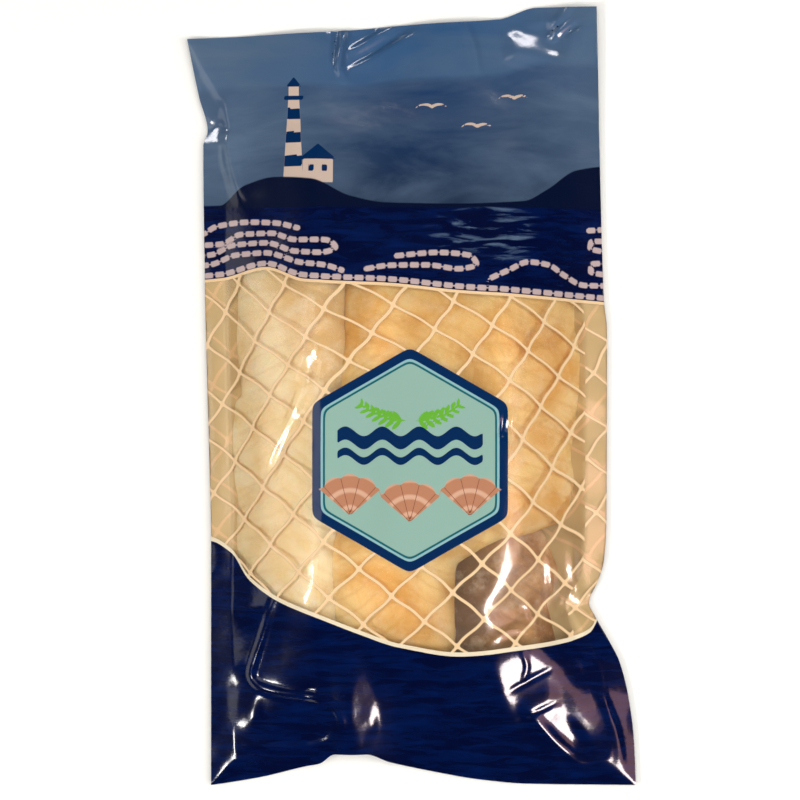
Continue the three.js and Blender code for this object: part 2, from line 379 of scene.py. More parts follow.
def along_route(x, y, points):
    """(signed distance to the route, length along it, share of the way) of every (x, y)."""
    line = route(points)
    lengths = np.hypot(*np.diff(line, axis=0).T)
    reached = np.concatenate([[0], np.cumsum(lengths)])
    best = np.full(x.shape, np.inf)
    offset = np.zeros(x.shape)
    along = np.zeros(x.shape)
    for k, (start, end) in enumerate(zip(line[:-1], line[1:])):
        way = end - start
        from_x, from_y = x - start[0], y - start[1]
        s = np.clip((from_x * way[0] + from_y * way[1]) / (way @ way), 0, 1)
        gap = np.hypot(from_x - s * way[0], from_y - s * way[1])
        nearer = gap < best
        best = np.where(nearer, gap, best)
        side = np.sign(way[0] * from_y - way[1] * from_x)
        offset = np.where(nearer, gap * side, offset)
        along = np.where(nearer, reached[k] + s * lengths[k], along)
    return offset, along, along / reached[-1]


# ---- The film's shape ----


def plan_points(u, v):
    """Plan x and y for u across and v along, 0 to 1: the four edges blended into the inside."""
    left_y = LEFT_EDGE[0][0] + (LEFT_EDGE[-1][0] - LEFT_EDGE[0][0]) * v
    right_y = RIGHT_EDGE[0][0] + (RIGHT_EDGE[-1][0] - RIGHT_EDGE[0][0]) * v
    bottom_x = BOTTOM_EDGE[0][0] + (BOTTOM_EDGE[-1][0] - BOTTOM_EDGE[0][0]) * u
    top_x = TOP_EDGE[0][0] + (TOP_EDGE[-1][0] - TOP_EDGE[0][0]) * u
    left = (through(LEFT_EDGE, left_y), left_y)
    right = (through(RIGHT_EDGE, right_y), right_y)
    bottom = (bottom_x, through(BOTTOM_EDGE, bottom_x))
    top = (top_x, through(TOP_EDGE, top_x))
    plan = []
    for axis in (0, 1):
        sides = left[axis] * (1 - u) + right[axis] * u
        ends = bottom[axis] * (1 - v) + top[axis] * v
        lower = BOTTOM_EDGE[0][axis] * (1 - u) + BOTTOM_EDGE[-1][axis] * u
        upper = TOP_EDGE[0][axis] * (1 - u) + TOP_EDGE[-1][axis] * u
        plan.append(sides + ends - lower * (1 - v) - upper * v)
    return plan


def across_and_along(x, y):
    """The u and v of plan points, near enough for heights: shares of the way between the edges."""
    left, right = through(LEFT_EDGE, y), through(RIGHT_EDGE, y)
    bottom, top = through(BOTTOM_EDGE, x), through(TOP_EDGE, x)
    return (x - left) / (right - left), (y - bottom) / (top - bottom)


def from_edges(u, v):
    """Distances in from the four edges of the flat film: left, right, hem and top."""
    return u * FLAT_WIDTH, (1 - u) * FLAT_WIDTH, v * FLAT_LENGTH, (1 - v) * FLAT_LENGTH


def from_welds(u, v):
    """Distances in from the four weld lines, negative within the seals."""
    left, right, hem, top = from_edges(u, v)
    place, reach, extra = WIDE_SEAL
    right_seal = SIDE_SEAL + extra * bell((hem - place) / reach)
    return left - SIDE_SEAL, right - right_seal, hem - HEM_SEAL, top - TOP_SEAL


def weld_height(x, u, v, lift):
    """Height of the weld: low at the free edges, bent up in the hem's wave, rippled at the top.

    The share of the way from the edge to the weld line is a soft minimum of the four: the fourth
    root of one over the sum of their fourth powers upside down.
    """
    left, right, hem, top = from_edges(u, v)
    shares = np.stack([left / SIDE_SEAL, right / SIDE_SEAL, hem / HEM_SEAL, top / TOP_SEAL])
    inwards = (np.maximum(shares, 1e-4) ** -4).sum(0) ** -0.25
    wave_x, wave_half, wave_lift, wave_reach = HEM_WAVE
    wave = wave_lift * bell((x - wave_x) / wave_half) * bell(hem / wave_reach)
    ripple_lift, ripple_length, ripple_reach = SEAL_RIPPLE
    ripple = ripple_lift * np.sin(2 * np.pi * x / ripple_length) * bell(top / ripple_reach)
    return EDGE_LIFT + (lift - EDGE_LIFT) * np.clip(inwards, 0, 1) + wave + ripple


def swollen(u, v):
    """How far the front panel has risen, 0 at the welds and 1 in the middle."""
    left, right, hem, top = from_welds(u, v)
    return (
        rise(left, LEFT_REACH, SIDE_STEEPNESS) * rise(right, RIGHT_REACH, SIDE_STEEPNESS)
        * rise(top, TOP_REACH, END_STEEPNESS) * rise(hem, HEM_REACH, END_STEEPNESS)
    )


def slab_lift(x, y):
    """How much the slabs lift the film at a point, less the hollow beside them."""
    lifted = 0
    for slab_x, slab_y, half_width, half_length, lift in SLAB_LIFTS:
        across, along = ((x - slab_x) / half_width) ** 4, ((y - slab_y) / half_length) ** 4
        lifted = lifted + lift * np.exp(-across - along)
    hollow_x, hollow_y, radius, drop = HOLLOW
    return lifted - drop * bell(np.hypot(x - hollow_x, y - hollow_y) / radius)


def creases(x, y):
    """The film's named creases: rounded ridges with straight flanks that fade at both ends."""
    height = np.zeros(x.shape)
    for lift, width, points in CREASES:
        offset, _, share = along_route(x, y, points)
        crest = np.logaddexp(0, (1 - np.hypot(offset / width, CREST_ROUNDING)) * CREST_BEND)
        fade = np.sin(np.pi * np.clip(share * 0.94 + 0.03, 0, 1)) ** CREASE_FADE
        height += lift * (crest / CREST_BEND) * fade
    return height


def spare_film(x, y):
    """How much longer the film is than the smooth shape, across and along: a sum of bells."""
    spare = np.zeros((*x.shape, 2))
    for spare_x, spare_y, across, along, *shares in SPARE_FILM:
        near = bell((x - spare_x) / across) * bell((y - spare_y) / along)
        spare += near[..., None] * shares
    return spare


def refined(field):
    """The same field on a grid twice as fine: a cubic through the four nearest lines."""
    for axis in (0, 1):
        lines = np.moveaxis(field, axis, 0)
        ends = 2 * lines[:1] - lines[1:2], 2 * lines[-1:] - lines[-2:-1]
        padded = np.concatenate([ends[0], lines, ends[1]])
        finer = np.empty((2 * len(lines) - 1, *lines.shape[1:]))
        finer[::2] = lines
        finer[1::2] = (9 * (padded[1:-2] + padded[2:-1]) - padded[:-3] - padded[3:]) / 16
        field = np.moveaxis(finer, 0, axis)
    return field


def apart(field):
    """How far the four neighbours' mean is from each inner place of a grid."""
    around = field[1:-1, :-2] + field[1:-1, 2:] + field[:-2, 1:-1] + field[2:, 1:-1]
    return around / 4 - field[1:-1, 1:-1]


def settled(base, moved, spare, free, floor, rounds, stiffness):
    """The film's shift from its smooth shape once every link has its own length again.

    Each round pulls or pushes the ends of all links, straight and diagonal, towards their
    lengths, evens out the shift's bends by the stiffness, which is the difference from the
    neighbours taken twice, and lifts what has sunk into the floor.
    """
    every, but_last, but_first = slice(None), slice(None, -1), slice(1, None)
    links = (
        ((every, but_last), (every, but_first)), ((but_last, every), (but_first, every)),
        ((but_last, but_last), (but_first, but_first)),
        ((but_last, but_first), (but_first, but_last)),
    )
    lengths = []
    for start, end in links:
        way = base[end] - base[start]
        across = np.abs(way[..., :1]) / (np.abs(way[..., :1]) + np.abs(way[..., 1:2]))
        here = (spare[start] + spare[end]) / 2
        share = across * here[..., :1] + (1 - across) * here[..., 1:]
        lengths.append(np.sqrt((way ** 2).sum(-1, keepdims=True)) * (1 + share))
    limit = np.array([SIDEWAYS_LIMIT, SIDEWAYS_LIMIT, UP_LIMIT], dtype=base.dtype)
    for _ in range(rounds):
        points = base + moved
        push = np.zeros_like(points)
        for (start, end), length in zip(links, lengths):
            way = points[end] - points[start]
            pull = way * (0.5 - 0.5 * length / np.sqrt((way ** 2).sum(-1, keepdims=True)))
            push[start] += pull
            push[end] -= pull
        moved = moved + push * (PULL_SHARE * free)
        bend = apart(moved)
        moved[2:-2, 2:-2] -= apart(bend) * (stiffness * free[2:-2, 2:-2])
        moved = np.clip(moved, -limit, limit)
        moved[..., 2] = np.maximum(moved[..., 2], np.minimum(floor - base[..., 2], PUSH_LIMIT))
    return moved


def wrinkled(base, spare, free, floor):
    """The settled film: first in coarse cells for its broad folds, then in finer ones.

    Each pass starts with a push up and down that makes folds across the film's spare length,
    three times as long as wide. Its height is the square root of the spare share, times the
    folds' length, over pi.
    """
    x, y = base[..., 0], base[..., 1]
    moved = np.zeros_like(base)[::4, ::4]
    for step, rounds, stiffness, length, share, seed in SETTLING:
        every = (slice(None, None, step), slice(None, None, step))
        if step < SETTLING[0][0]:
            moved = refined(moved)
        upright = drift(x[every], y[every] / 3, length / 2, seed)
        level = drift(x[every] / 3, y[every], length / 2, seed + 1)
        slack = np.sqrt(spare[every]) * share * length / math.pi * free[every]
        moved[..., 2] += slack[..., 0] * upright + slack[..., 1] * level
        parts = [part[every].astype(np.float32) for part in (base, spare, free, floor)]
        moved = settled(parts[0], moved.astype(np.float32), *parts[1:], rounds, stiffness)
    return moved.astype(float)


def front_height(x, y, u, v, lift, swell):
    """The front panel's smooth height: the weld, and the swell over air and slabs."""
    return weld_height(x, u, v, lift) + swollen(u, v) * (swell + slab_lift(x, y))


def faceted(x, y, height, lift, swell):
    """The same height with the named facets laid flat, each about its own middle."""
    for facet_x, facet_y, half_width, half_length, turn, across, along in FACETS:
        c, s = math.cos(turn), math.sin(turn)
        right, up = x - facet_x, y - facet_y
        out = ((right * c + up * s) / half_width) ** 4 + ((up * c - right * s) / half_length) ** 4
        middle = smooth_film(np.array(facet_x), np.array(facet_y), lift, swell)
        height = height + (middle + right * across + up * along - height) * np.exp(-out)
    return height


def back_height(x, u, v, lift):
    """The back panel's height: down from the weld to the surface that it lies on."""
    lowered = np.prod([rise(distance, BACK_REACH, 2) for distance in from_welds(u, v)], axis=0)
    return (weld_height(x, u, v, lift) - FILM_THICKNESS) * (1 - lowered)


def smooth_film(x, y, lift, swell):
    """The smooth front panel's height at plan points."""
    return front_height(x, y, *across_and_along(x, y), lift, swell)


def slab_reach(around, middle, outline, seed):
    """How far out a slab's edge is in a direction: its outline joined smoothly, not quite even."""
    ways = np.array(outline, dtype=float) - middle
    knots = np.stack([np.arctan2(ways[:, 1], ways[:, 0]), np.hypot(*ways.T)], 1)
    knots = knots[np.argsort(knots[:, 0])]
    turn = (2 * math.pi, 0)
    knots = np.concatenate([knots[-2:] - turn, knots, knots[:2] + turn])
    uneven = 1 + EDGE_UNEVEN * drift(np.cos(around) * 30, np.sin(around) * 30, 6, seed)
    return through(knots, around) * uneven


def slab_floor(x, y, seed):
    """The underside of a slab, a little uneven."""
    return 0.9 + 0.5 * drift(x, y, 9, seed + 5)


def flake_places(x, y, middle, turn, seed):
    """Places along a slab counted so that flakes make shallow arrowheads, bent a little."""
    across = (x - middle[0]) * math.cos(turn) + (y - middle[1]) * math.sin(turn)
    along = (y - middle[1]) * math.cos(turn) - (x - middle[0]) * math.sin(turn)
    bend = FLAKE_BEND * drift(across, along, 18, seed + 1)
    return along + FLAKE_SLANT * np.abs(across) + bend


def slab_crest(x, y, middle, turn, below, seed, lift, swell):
    """The top of a slab before its edges round off: film height less a gap, lumps and flakes."""
    counted = flake_places(x, y, middle, turn, seed) * math.pi / FLAKE_LENGTH
    flakes = FLAKE_RELIEF * np.abs(np.sin(counted))
    lumps = sum(height * drift(x, y, length, seed + more) for height, length, more in LUMPS)
    crest = smooth_film(x, y, lift, swell) - below - SLAB_DEPTH + lumps + flakes
    return np.maximum(crest, slab_floor(x, y, seed) + SLAB_LEAST)


def fish_top(x, y, lift, swell):
    """Height of the fish at plan points, far below where there is none."""
    top = np.full(x.shape, -99.0)
    for _, middle, outline, turn, below, softness, seed in SLABS:
        from_x, from_y = x - middle[0], y - middle[1]
        edge = slab_reach(np.arctan2(from_y, from_x), middle, outline, seed)
        out = np.hypot(from_x, from_y) / edge
        rounded = np.sqrt(1 - np.clip(out, 0, 1) ** (2 / softness)) ** SLAB_ROUNDING
        floor = slab_floor(x, y, seed)
        crest = slab_crest(x, y, middle, turn, below, seed, lift, swell)
        height = floor + (crest - floor) * (1 + rounded) / 2
        top = np.where(out < 1, np.maximum(top, height), top)
    return top


def grid_lines(total, first_seal, last_seal, cells):
    """Grid lines from 0 to 1, with one on each weld line and even steps between."""
    knots = np.array([0, first_seal / total, 1 - last_seal / total, 1])
    counts = np.maximum(np.round(np.diff(knots) * cells / 2) * 2, 2).astype(int)
    counts[1] += cells - counts.sum()
    parts = [np.linspace(a, b, n, endpoint=False) for a, b, n in zip(knots, knots[1:], counts)]
    return np.append(np.concatenate(parts), 1.0)


# ---- The print's fields: each is a distance in millimetres, positive inside its shape ----


def flat_places(x, y, z):
    """Places on the film laid flat: lengths along its rows and columns from the middle ones."""
    middle_row, middle_column = x.shape[0] // 2, x.shape[1] // 2

    def measured(axis, plan, middle):
        steps = np.sqrt(sum(np.diff(part, axis=axis) ** 2 for part in (x, y, z)))
        start = np.zeros_like(np.take(steps, [0], axis))
        run = np.concatenate([start, np.cumsum(steps, axis)], axis)
        return run - np.take(run, [middle], axis) + np.take(plan, [middle], axis)

    return measured(1, x, middle_column), measured(0, y, middle_row)


def net_fields(flat_x, flat_y):
    """How many net lines lie between a place and the net's first knot, for both sets of lines.

    The places are first pulled about a little, because a net's meshes are never even, and each
    line bows between its knots.
    """
    x = flat_x - NET_NODE[0] + NET_PULL * drift(flat_x, flat_y, NET_PULL_LENGTH, 21)
    y = flat_y - NET_NODE[1] + NET_PULL * drift(flat_x, flat_y, NET_PULL_LENGTH, 22)
    (ax, ay), (bx, by) = NET_LEGS
    area = ax * by - ay * bx
    first, second = (x * by - y * bx) / area, (y * ax - x * ay) / area
    upwards = np.maximum(y, 0) ** 2
    first, second = first + upwards * NET_LEAN[0], second + upwards * NET_LEAN[1]
    bowed_first = first + NET_BOW * np.sin(2 * np.pi * second)
    bowed_second = second + NET_BOW * np.sin(2 * np.pi * first + 1)
    return bowed_first, bowed_second


def hexagon(x, y):
    """Distance in from the label's edge: a six-sided shape with a point up and rounded corners."""
    x, y = x - LABEL_MIDDLE[0], y - LABEL_MIDDLE[1]
    turns = np.radians([0, 60, 120])
    reach = np.stack([np.abs(x * np.cos(turn) + y * np.sin(turn)) for turn in turns])
    softened = (reach ** LABEL_SQUARENESS).sum(0) ** (1 / LABEL_SQUARENESS)
    return LABEL_APOTHEM - softened


def union(*shapes):
    """The outer shape of several fields."""
    return np.maximum.reduce(shapes)


def ellipse(x, y, middle, half_width, half_height, turn=0.0):
    """Distance in from a turned ellipse's edge, near enough close to that edge."""
    c, s = math.cos(turn), math.sin(turn)
    along = ((x - middle[0]) * c + (y - middle[1]) * s) / half_width
    across = ((y - middle[1]) * c - (x - middle[0]) * s) / half_height
    return (1 - np.hypot(along, across)) * min(half_width, half_height)


def sprig(x, y, root, length, turn, bend):
    """A curved twig of paired leaves that get smaller towards its tip."""
    leaves = []
    place, pairs = np.array(root, dtype=float), 7
    for number in range(pairs):
        share = number / pairs
        heading = turn + bend * share
        place = place + length / pairs * np.array([math.cos(heading), math.sin(heading)])
        leaves.append(ellipse(x, y, place, length / pairs * 0.7, 0.4, heading))
        size = 2.5 - 1.0 * share
        for side in (-1, 1):
            lean = heading + side * 0.8
            middle = place + size * np.array([math.cos(lean), math.sin(lean)])
            leaves.append(ellipse(x, y, middle, size, size * 0.36, lean))
    return union(*leaves)


def shell_places(x, y):
    """Angle from upright and distance from the hinge of the nearest shell."""
    hinges = np.array(SHELLS)
    across = np.abs(x[..., None] - hinges[:, 0])
    upwards = y - hinges[across.argmin(-1), 1]
    return np.arctan2(across.min(-1), upwards), np.hypot(across.min(-1), upwards)


def lighthouse(x, y):
    """Light and dark parts of a small lighthouse with a keeper's house."""
    aside = (x - HEADLAND_TOP[0]) / LIGHTHOUSE_SCALE
    up = (y - HEADLAND_TOP[1]) / LIGHTHOUSE_SCALE
    tower = np.minimum(3.3 - up * 0.055 - np.abs(aside), np.minimum(up + 1, 27 - up))
    lantern = np.minimum(1.7 - np.abs(aside), np.minimum(up - 27, 31 - up))
    gallery = np.minimum(3.2 - np.abs(aside), 0.7 - np.abs(up - 27.2))
    cap = np.minimum(2.6 - np.abs(aside) - (up - 31) * 0.8, up - 31)
    house = np.minimum(5.0 - np.abs(aside - 8.2), np.minimum(up + 1.5, 6.5 - up))
    roof = np.minimum(6.2 - np.abs(aside - 8.2) - (up - 6.5) * 1.2, up - 6.5)
    bands = np.minimum(tower, 2 - np.abs(np.mod(up, 8) - 6))
    window = np.minimum(0.9 - np.abs(np.abs(aside - 8.2) - 2.2), 1.1 - np.abs(up - 3.4))
    return union(tower, lantern, house), union(bands, gallery, cap, roof, window)


def front_fields(x, y, flat_x, flat_y, strip, upper):
    """All fields of the front's print, by name."""
    net_first, net_second = net_fields(flat_x, flat_y)
    rope_offset, rope_along = np.full(x.shape, 99.0), np.zeros(x.shape)
    for number, points in enumerate(ROPES):
        offset, along, _ = along_route(x, y, points)
        nearer = np.abs(offset) < rope_offset
        rope_offset = np.where(nearer, np.abs(offset), rope_offset)
        rope_along = np.where(nearer, along + number * ROPE_STAGGER, rope_along)
    swing = WAVE_SWING * np.sin((x - LABEL_MIDDLE[0]) * 2 * np.pi / WAVE_PITCH)
    crests = LABEL_MIDDLE[1] + WAVE_UP + swing
    band = union(2.6 - np.abs(y - crests), 1.5 - np.abs(y - crests + WAVE_GAP))
    light, dark = lighthouse(x, y)
    gulls = union(*[
        np.minimum(
            (0.75 - 0.085 * np.abs(x - gx)) - np.abs(y - gy + 0.11 * (np.abs(x - gx) - 3) ** 2),
            7.5 - np.abs(x - gx),
        )
        for gx, gy in GULLS
    ])
    shell_angle, shell_out = shell_places(x, y)
    glitter_x, glitter_y, across, along = GLITTER
    return {
        "foot": through(FRONT_FOOT, x) - y,
        "head": y - through(FRONT_HEAD, x),
        "sky": y - HORIZON,
        "hills": np.minimum(through(SKYLINE, x) - y, y - HILLS_FOOT),
        "upper": upper + 1.5 * drift(x, y, 24, 51),
        "net_first": net_first, "net_second": net_second,
        "rope_offset": rope_offset, "rope_along": rope_along,
        "label": hexagon(x, y),
        "sprig": union(*[sprig(x, y, *twig) for twig in SPRIGS]),
        "crests": np.minimum(band, WAVE_REACH - np.abs(x - LABEL_MIDDLE[0])),
        "shell_angle": shell_angle, "shell_out": shell_out,
        "lighthouse": light, "lighthouse_dark": dark, "gulls": gulls,
        "strip": strip,
        "glitter": bell((x - glitter_x) / across) * bell((y - glitter_y) / along),
    }


def back_fields(x, y, flat_x, flat_y):
    """All fields of the back's print, by name."""
    net_first, net_second = net_fields(flat_x + BACK_NET_SHIFT[0], flat_y + BACK_NET_SHIFT[1])
    return {
        "foot": through(BACK_FOOT, x) - y,
        "head": y - through(BACK_HEAD, x),
        "net_first": net_first, "net_second": net_second,
    }


# ---- Meshes ----


def quads(columns, rows, start=0):
    """Vertex numbers of a grid's cells, anticlockwise as seen from above."""
    corner = (np.arange(rows)[:, None] * (columns + 1) + np.arange(columns)).ravel() + start
    return np.stack([corner, corner + 1, corner + columns + 2, corner + columns + 1], 1)


def rim_of(columns, rows, start=0):
    """Vertex numbers round a grid's edge, anticlockwise from its first corner."""
    number = np.arange((rows + 1) * (columns + 1)).reshape(rows + 1, columns + 1) + start
    return np.concatenate([
        number[0, :-1], number[:-1, -1], number[-1, :0:-1], number[:0:-1, 0],
    ])


def make_piece(name, points, faces, fields=(), sharp_angle=None):
    """A mesh object in metres from points in millimetres, with named number fields on them."""
    mesh = bpy.data.meshes.new(name)
    mesh.from_pydata(np.asarray(points) * MM, [], faces)
    for field, values in dict(fields).items():
        attribute = mesh.attributes.new(field, "FLOAT", "POINT")
        attribute.data.foreach_set("value", np.ascontiguousarray(values, dtype=np.float32))
    mesh.shade_smooth()
    if sharp_angle is not None:
        mesh.set_sharp_from_angle(angle=sharp_angle)
    mesh.validate()
    mesh.update()
    piece = bpy.data.objects.new(name, mesh)
    bpy.context.scene.collection.objects.link(piece)
    return piece


def film_points(x, y, u, v, lift, swell):
    """Points of the front and, on every other line, of the back, and both smooth heights.

    The front is its smooth shape plus the folds plus what settling shifts. The back follows it
    where the welds hold them together, and elsewhere lies low and a little uneven.
    """
    smooth = front_height(x, y, u, v, lift, swell) + FILM_THICKNESS / 2
    folds = creases(x, y) + faceted(x, y, smooth, lift, swell) - smooth
    base = np.stack([x, y, smooth + folds], -1)
    inside = np.minimum.reduce(from_welds(u, v))
    from_edge = np.minimum.reduce(from_edges(u, v))
    free = SEAL_GIVE * np.clip(from_edge / GIVE_REACH, 0, 1)
    free += (1 - SEAL_GIVE) * np.clip(inside / GIVE_REACH, 0, 1)
    back = back_height(x, u, v, lift)
    floor = np.maximum(fish_top(x, y, lift, swell) + FISH_GAP, back + FISH_GAP * (inside > 0))
    shift = wrinkled(base, spare_film(x, y), free[..., None], floor)
    shift[..., 2] += folds
    welded = 1 - np.clip(inside / WELD_HOLD, 0, 1)
    under = np.stack([x, y, back], -1) + shift * welded[..., None]
    under[..., 2] += BACK_LUMPS * np.abs(drift(x, y, 12, 14)) * np.clip(inside / 8, 0, 1)
    under[..., 2] = np.maximum(under[..., 2], 0)
    over = np.stack([x, y, smooth], -1) + shift
    return np.concatenate([over.reshape(-1, 3), under[HALF].reshape(-1, 3)]), smooth, back


def film_faces(columns, rows):
    """Faces of the front, and those of the back with the strip that joins both along the edge."""
    start = (columns + 1) * (rows + 1)
    back = quads(columns // 2, rows // 2, start)[:, ::-1].tolist()
    fine, coarse = rim_of(columns, rows), rim_of(columns // 2, rows // 2, start)
    after = np.roll(coarse, -1)
    first, middle, last = fine[::2], fine[1::2], np.roll(fine, -2)[::2]
    for corners in ((first, coarse, middle), (middle, coarse, after), (middle, after, last)):
        back += np.stack(corners, 1).tolist()
    return quads(columns, rows).tolist(), back


def film_fields(x, y, u, v, smooth, back):
    """The print's fields on all points. The back is outside every shape that only the front has."""
    _, strip, _, upper = from_welds(u, v)
    on_front = front_fields(x, y, *flat_places(x, y, smooth), -strip, -upper)
    on_back = back_fields(x[HALF], y[HALF], *flat_places(x[HALF], y[HALF], back[HALF]))
    outside = np.full(x[HALF].size, -9.0)
    return {
        name: np.concatenate([values.ravel(), on_back.get(name, outside).ravel()])
        for name, values in on_front.items()
    }


def slab_points(middle, outline, turn, below, softness, seed, lift, swell):
    """A slab of fish as rings from a pole under it to a pole on top, and its flake places.

    A ring's reach is the cosine of its latitude to the power of the softness, so a low softness
    makes steep sides and a broad top. Its height is half of one more or less than the sine to
    the power of the rounding, between the slab's underside and its crest.
    """
    latitude = np.linspace(-math.pi / 2, math.pi / 2, SLAB_RINGS + 1)[1:-1]
    around = np.linspace(-math.pi, math.pi, SLAB_SPOKES + 1)[:-1]
    latitude, around = np.meshgrid(latitude, around, indexing="ij")
    out = np.cos(latitude) ** softness * slab_reach(around, middle, outline, seed)
    x, y = middle[0] + out * np.cos(around), middle[1] + out * np.sin(around)
    floor = slab_floor(x, y, seed)
    crest = slab_crest(x, y, middle, turn, below, seed, lift, swell)
    share = (np.sign(latitude) * np.abs(np.sin(latitude)) ** SLAB_ROUNDING + 1) / 2
    return x, y, floor + (crest - floor) * share, flake_places(x, y, middle, turn, seed)


def ringed_mesh(x, y, z):
    """Points and faces of rings closed by a pole below and a pole on top."""
    rings, spokes = x.shape
    points = np.stack([x, y, z], -1).reshape(-1, 3)
    poles = np.stack([points[:spokes].mean(0), points[-spokes:].mean(0)])
    number = np.arange(rings * spokes).reshape(rings, spokes)
    after = np.roll(number, -1, 1)
    sides = np.stack([number[:-1], after[:-1], after[1:], number[1:]], -1).reshape(-1, 4)
    under = np.stack([np.full(spokes, rings * spokes), after[0], number[0]], 1)
    over = np.stack([np.full(spokes, rings * spokes + 1), number[-1], after[-1]], 1)
    return np.concatenate([points, poles]), sides.tolist() + under.tolist() + over.tolist()


# ---- Settings ----


def linear(hex_colour):
    """The linear RGB triple of an sRGB colour written as six hex digits."""
    channels = [int(hex_colour[i:i + 2], 16) / 255 for i in (1, 3, 5)]
    return tuple(c / 12.92 if c <= 0.04045 else ((c + 0.055) / 1.055) ** 2.4 for c in channels)


def colour_setting(key, description, hex_colour):
    """A colour property with its default written as sRGB hex."""
    return FloatVectorProperty(
        name=key.replace("_", " ").capitalize(), description=description,
        default=linear(hex_colour), subtype="COLOR", size=3, min=0, max=1,
    )


class FilmSettings(bpy.types.PropertyGroup):
    """Shape and finish of the film."""

    weld_lift: FloatProperty(
        name="Weld height", description="Height of the weld line above the surface",
        default=0.0062, unit="LENGTH",
    )
    swell: FloatProperty(
        name="Swell", description="Rise of the front panel above the weld",
        default=0.017, unit="LENGTH",
    )
    roughness: FloatProperty(
        name="Roughness", description="Roughness of the film's surface", default=0.135,
        subtype="FACTOR", min=0, max=1,
    )
    haze: FloatProperty(
        name="Haze", description="How milky the clear window is", default=0.035,
        subtype="FACTOR", min=0, max=1,
    )


class InkSettings(bpy.types.PropertyGroup):
    """Colours of the print."""

    __annotations__ = {key: colour_setting(key, *ink) for key, ink in INKS.items()}


class PouchSettings(bpy.types.PropertyGroup):
    """Settings of the pouch's film and its print."""

    film: PointerProperty(type=FilmSettings)
    ink: PointerProperty(type=InkSettings)


# ---- Materials. Noise scales are counts a metre: 50 makes features 20 mm across ----


def add_node(tree, kind, *inputs, output=None, **named):
    """Adds a node and returns the output asked for by name, or else its first live one.

    Inputs go to its live sockets in order, and those with a capital to the socket of that name.
    Each is a socket to link, a plain value, the name of a number field of the mesh as text, or
    None to leave alone. The other named values are settings of the node itself.
    """
    node = tree.nodes.new("ShaderNode" + kind)
    for key in [key for key in named if not key[0].isupper()]:
        setattr(node, key, named.pop(key))
    live = [socket for socket in node.inputs if socket.enabled]
    given = list(zip(live, inputs))
    for key, value in named.items():
        given.append((next(s for s in live if s.name == key.replace("_", " ")), value))
    for socket, value in given:
        if isinstance(value, str):
            value = add_node(tree, "Attribute", output="Fac", attribute_name=value)
        if isinstance(value, bpy.types.NodeSocket):
            tree.links.new(value, socket)
        elif value is not None:
            socket.default_value = (*value, 1.0) if socket.type == "RGBA" else value
    return node.outputs[output] if output else next((s for s in node.outputs if s.enabled), None)


def new_material(name):
    """An empty node material, and the function that adds nodes to its tree."""
    material = bpy.data.materials.new(name)
    material.use_nodes = True
    material.node_tree.nodes.clear()
    return material, partial(add_node, material.node_tree)


def printed(add, layers, colour, opacity):
    """Lays inks over a ground in order, and returns the colour and how opaque it is.

    A layer is (field, how far inside its edge the ink starts, soft edge, ink), in millimetres.
    """
    for field, inwards, softness, ink in layers:
        mask = add(
            "Math", field, 1 / softness, 0.5 - inwards / softness,
            operation="MULTIPLY_ADD", use_clamp=True,
        )
        colour = add("Mix", Factor=mask, A=colour, B=ink, data_type="RGBA")
        opacity = add("Math", opacity, mask, operation="MAXIMUM")
    return colour, opacity


def water_ink(add, places, ink):
    """Ink of dark water: two blues in ripples 18 mm long and 3 mm wide, and the ripples alone."""
    drawn = add("Mapping", places, Scale=(55, 330, 55))
    ripple = add("TexNoise", Vector=drawn, Scale=1.0, Detail=5.0, Roughness=0.62, Distortion=0.7)
    ripple = add("MapRange", ripple, 0.42, 0.72, 0.0, 1.0)
    return add("Mix", Factor=ripple, A=ink.deep, B=ink.water, data_type="RGBA"), ripple


def sky_ink(add, places, ink):
    """Ink of an evening sky: bluer higher up, paler on the seal as a painted reflection, and
    with a painted sheen towards both sides.

    Its clouds are drawn out to 55 mm by 17 mm.
    """
    bluer = add("MapRange", "upper", -50.0, -4.0, 0.0, 1.0)
    sky = add("Mix", Factor=bluer, A=ink.sky, B=ink.high_sky, data_type="RGBA")
    # Painted reflection: the sky turns paler on the seal.
    seal_reflection_mask = add("MapRange", "upper", -1.5, 1.5, 0.0, 1.0)
    sky = add("Mix", Factor=seal_reflection_mask, A=sky, B=ink.seal_sky, data_type="RGBA")
    drawn = add("Mapping", places, Scale=(18, 60, 18))
    cloud = add("TexNoise", Vector=drawn, Scale=1.0, Detail=6.0, Roughness=0.6, Distortion=0.5)
    cloud = add("MapRange", cloud, 0.42, 0.74, 0.0, 0.55)
    # Painted sheen: the clouds grow lighter towards both sides of the pouch.
    across = add("SeparateXYZ", places, output="X")
    aside = add("Math", across, SKY_MIDDLE, operation="SUBTRACT")
    aside = add("Math", aside, operation="ABSOLUTE")
    painted_side_sheen = add("MapRange", aside, 0.012, 0.075, 0.0, 0.65)
    cloud = add("Math", cloud, painted_side_sheen, operation="ADD", use_clamp=True)
    return add("Mix", Factor=cloud, A=sky, B=ink.cloud, data_type="RGBA")


def net_lines(add):
    """Distance in from the net's lines, which lie where either count is whole, thicker at knots.

    Within the side strip both sets of lines are shifted by about a third of a mesh.
    """
    first_leg, second_leg = NET_LEGS
    area = first_leg[0] * second_leg[1] - first_leg[1] * second_leg[0]
    shift = add("Math", "strip", 0.0, operation="GREATER_THAN")
    gaps = []
    for count, leg in (("net_first", second_leg), ("net_second", first_leg)):
        count = add("Math", shift, STRIP_SHIFT, count, operation="MULTIPLY_ADD")
        gap = add("Math", count, 0.5, operation="PINGPONG")
        gaps.append(add("Math", gap, -area / math.hypot(*leg), operation="MULTIPLY"))
    near = add("Math", *gaps, NET_KNOT, operation="SMOOTH_MAX")
    return add("Math", near, NET_LINE / 2, operation="ADD")


